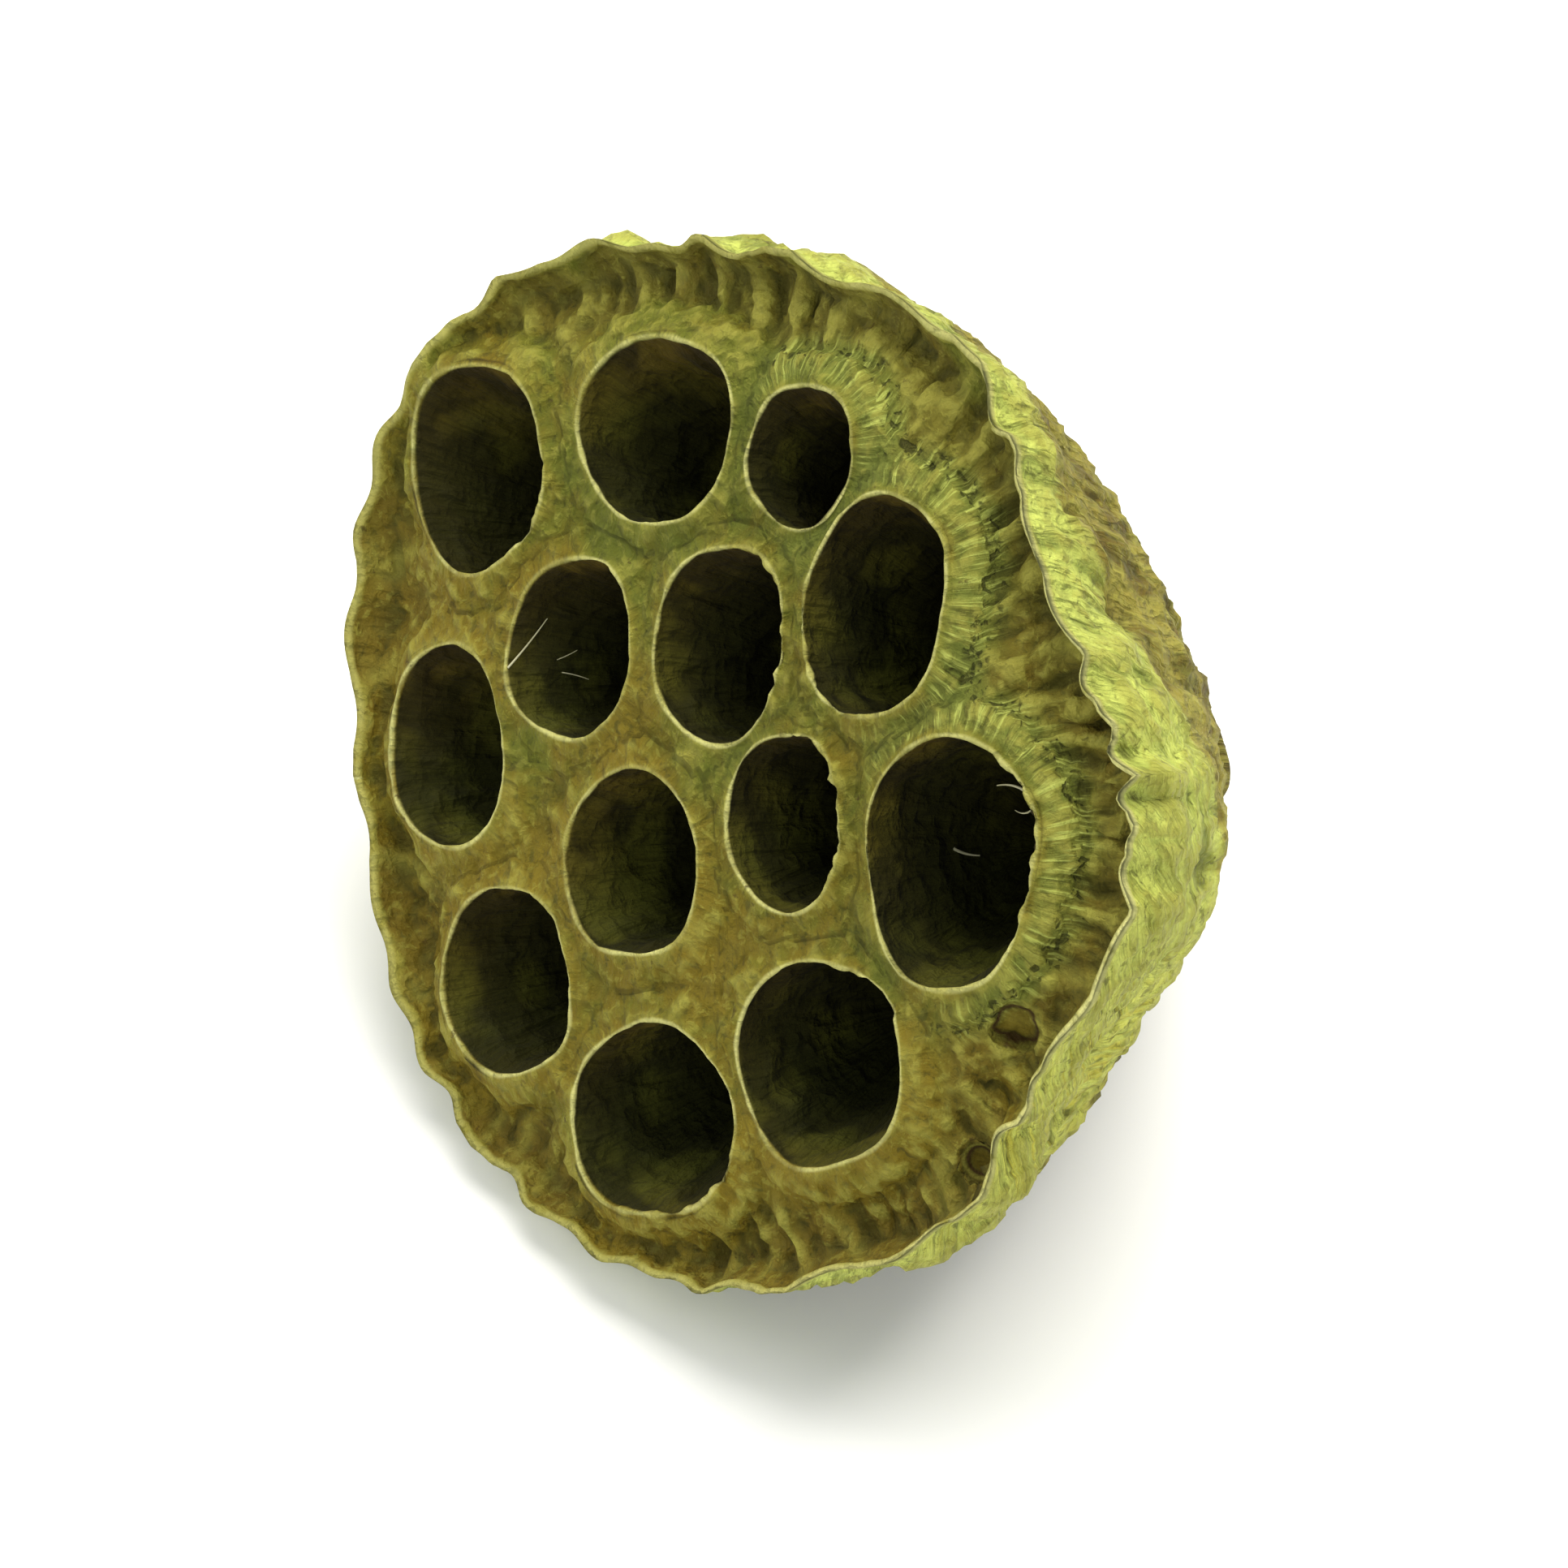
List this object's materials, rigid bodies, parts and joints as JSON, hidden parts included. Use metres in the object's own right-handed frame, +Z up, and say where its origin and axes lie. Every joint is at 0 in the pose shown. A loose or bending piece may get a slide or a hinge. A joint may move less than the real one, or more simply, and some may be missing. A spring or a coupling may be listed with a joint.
{
  "type": "dried lotus pod",
  "caption": "Dried lotus seed head: a net-like face with empty seed pits and a scalloped rim, a ribbed cone and a knotted stub of stalk; a decoration lying on its side.",
  "frame": {"origin": "centre of the bounding box, at its base, on the surface that the pod lies on", "axes": "+Z up; +X across the face, the longest way; -Y the way the face looks, which also tips upwards; the stub points to +Y"},
  "size_m": [0.079, 0.0668, 0.0622],
  "materials": {
    "dried_pod": "matt, dry plant tissue dyed olive green"
  },
  "bodies": {
    "root": {"lotus_pod": "dried_pod"}
  },
  "joints": []
}
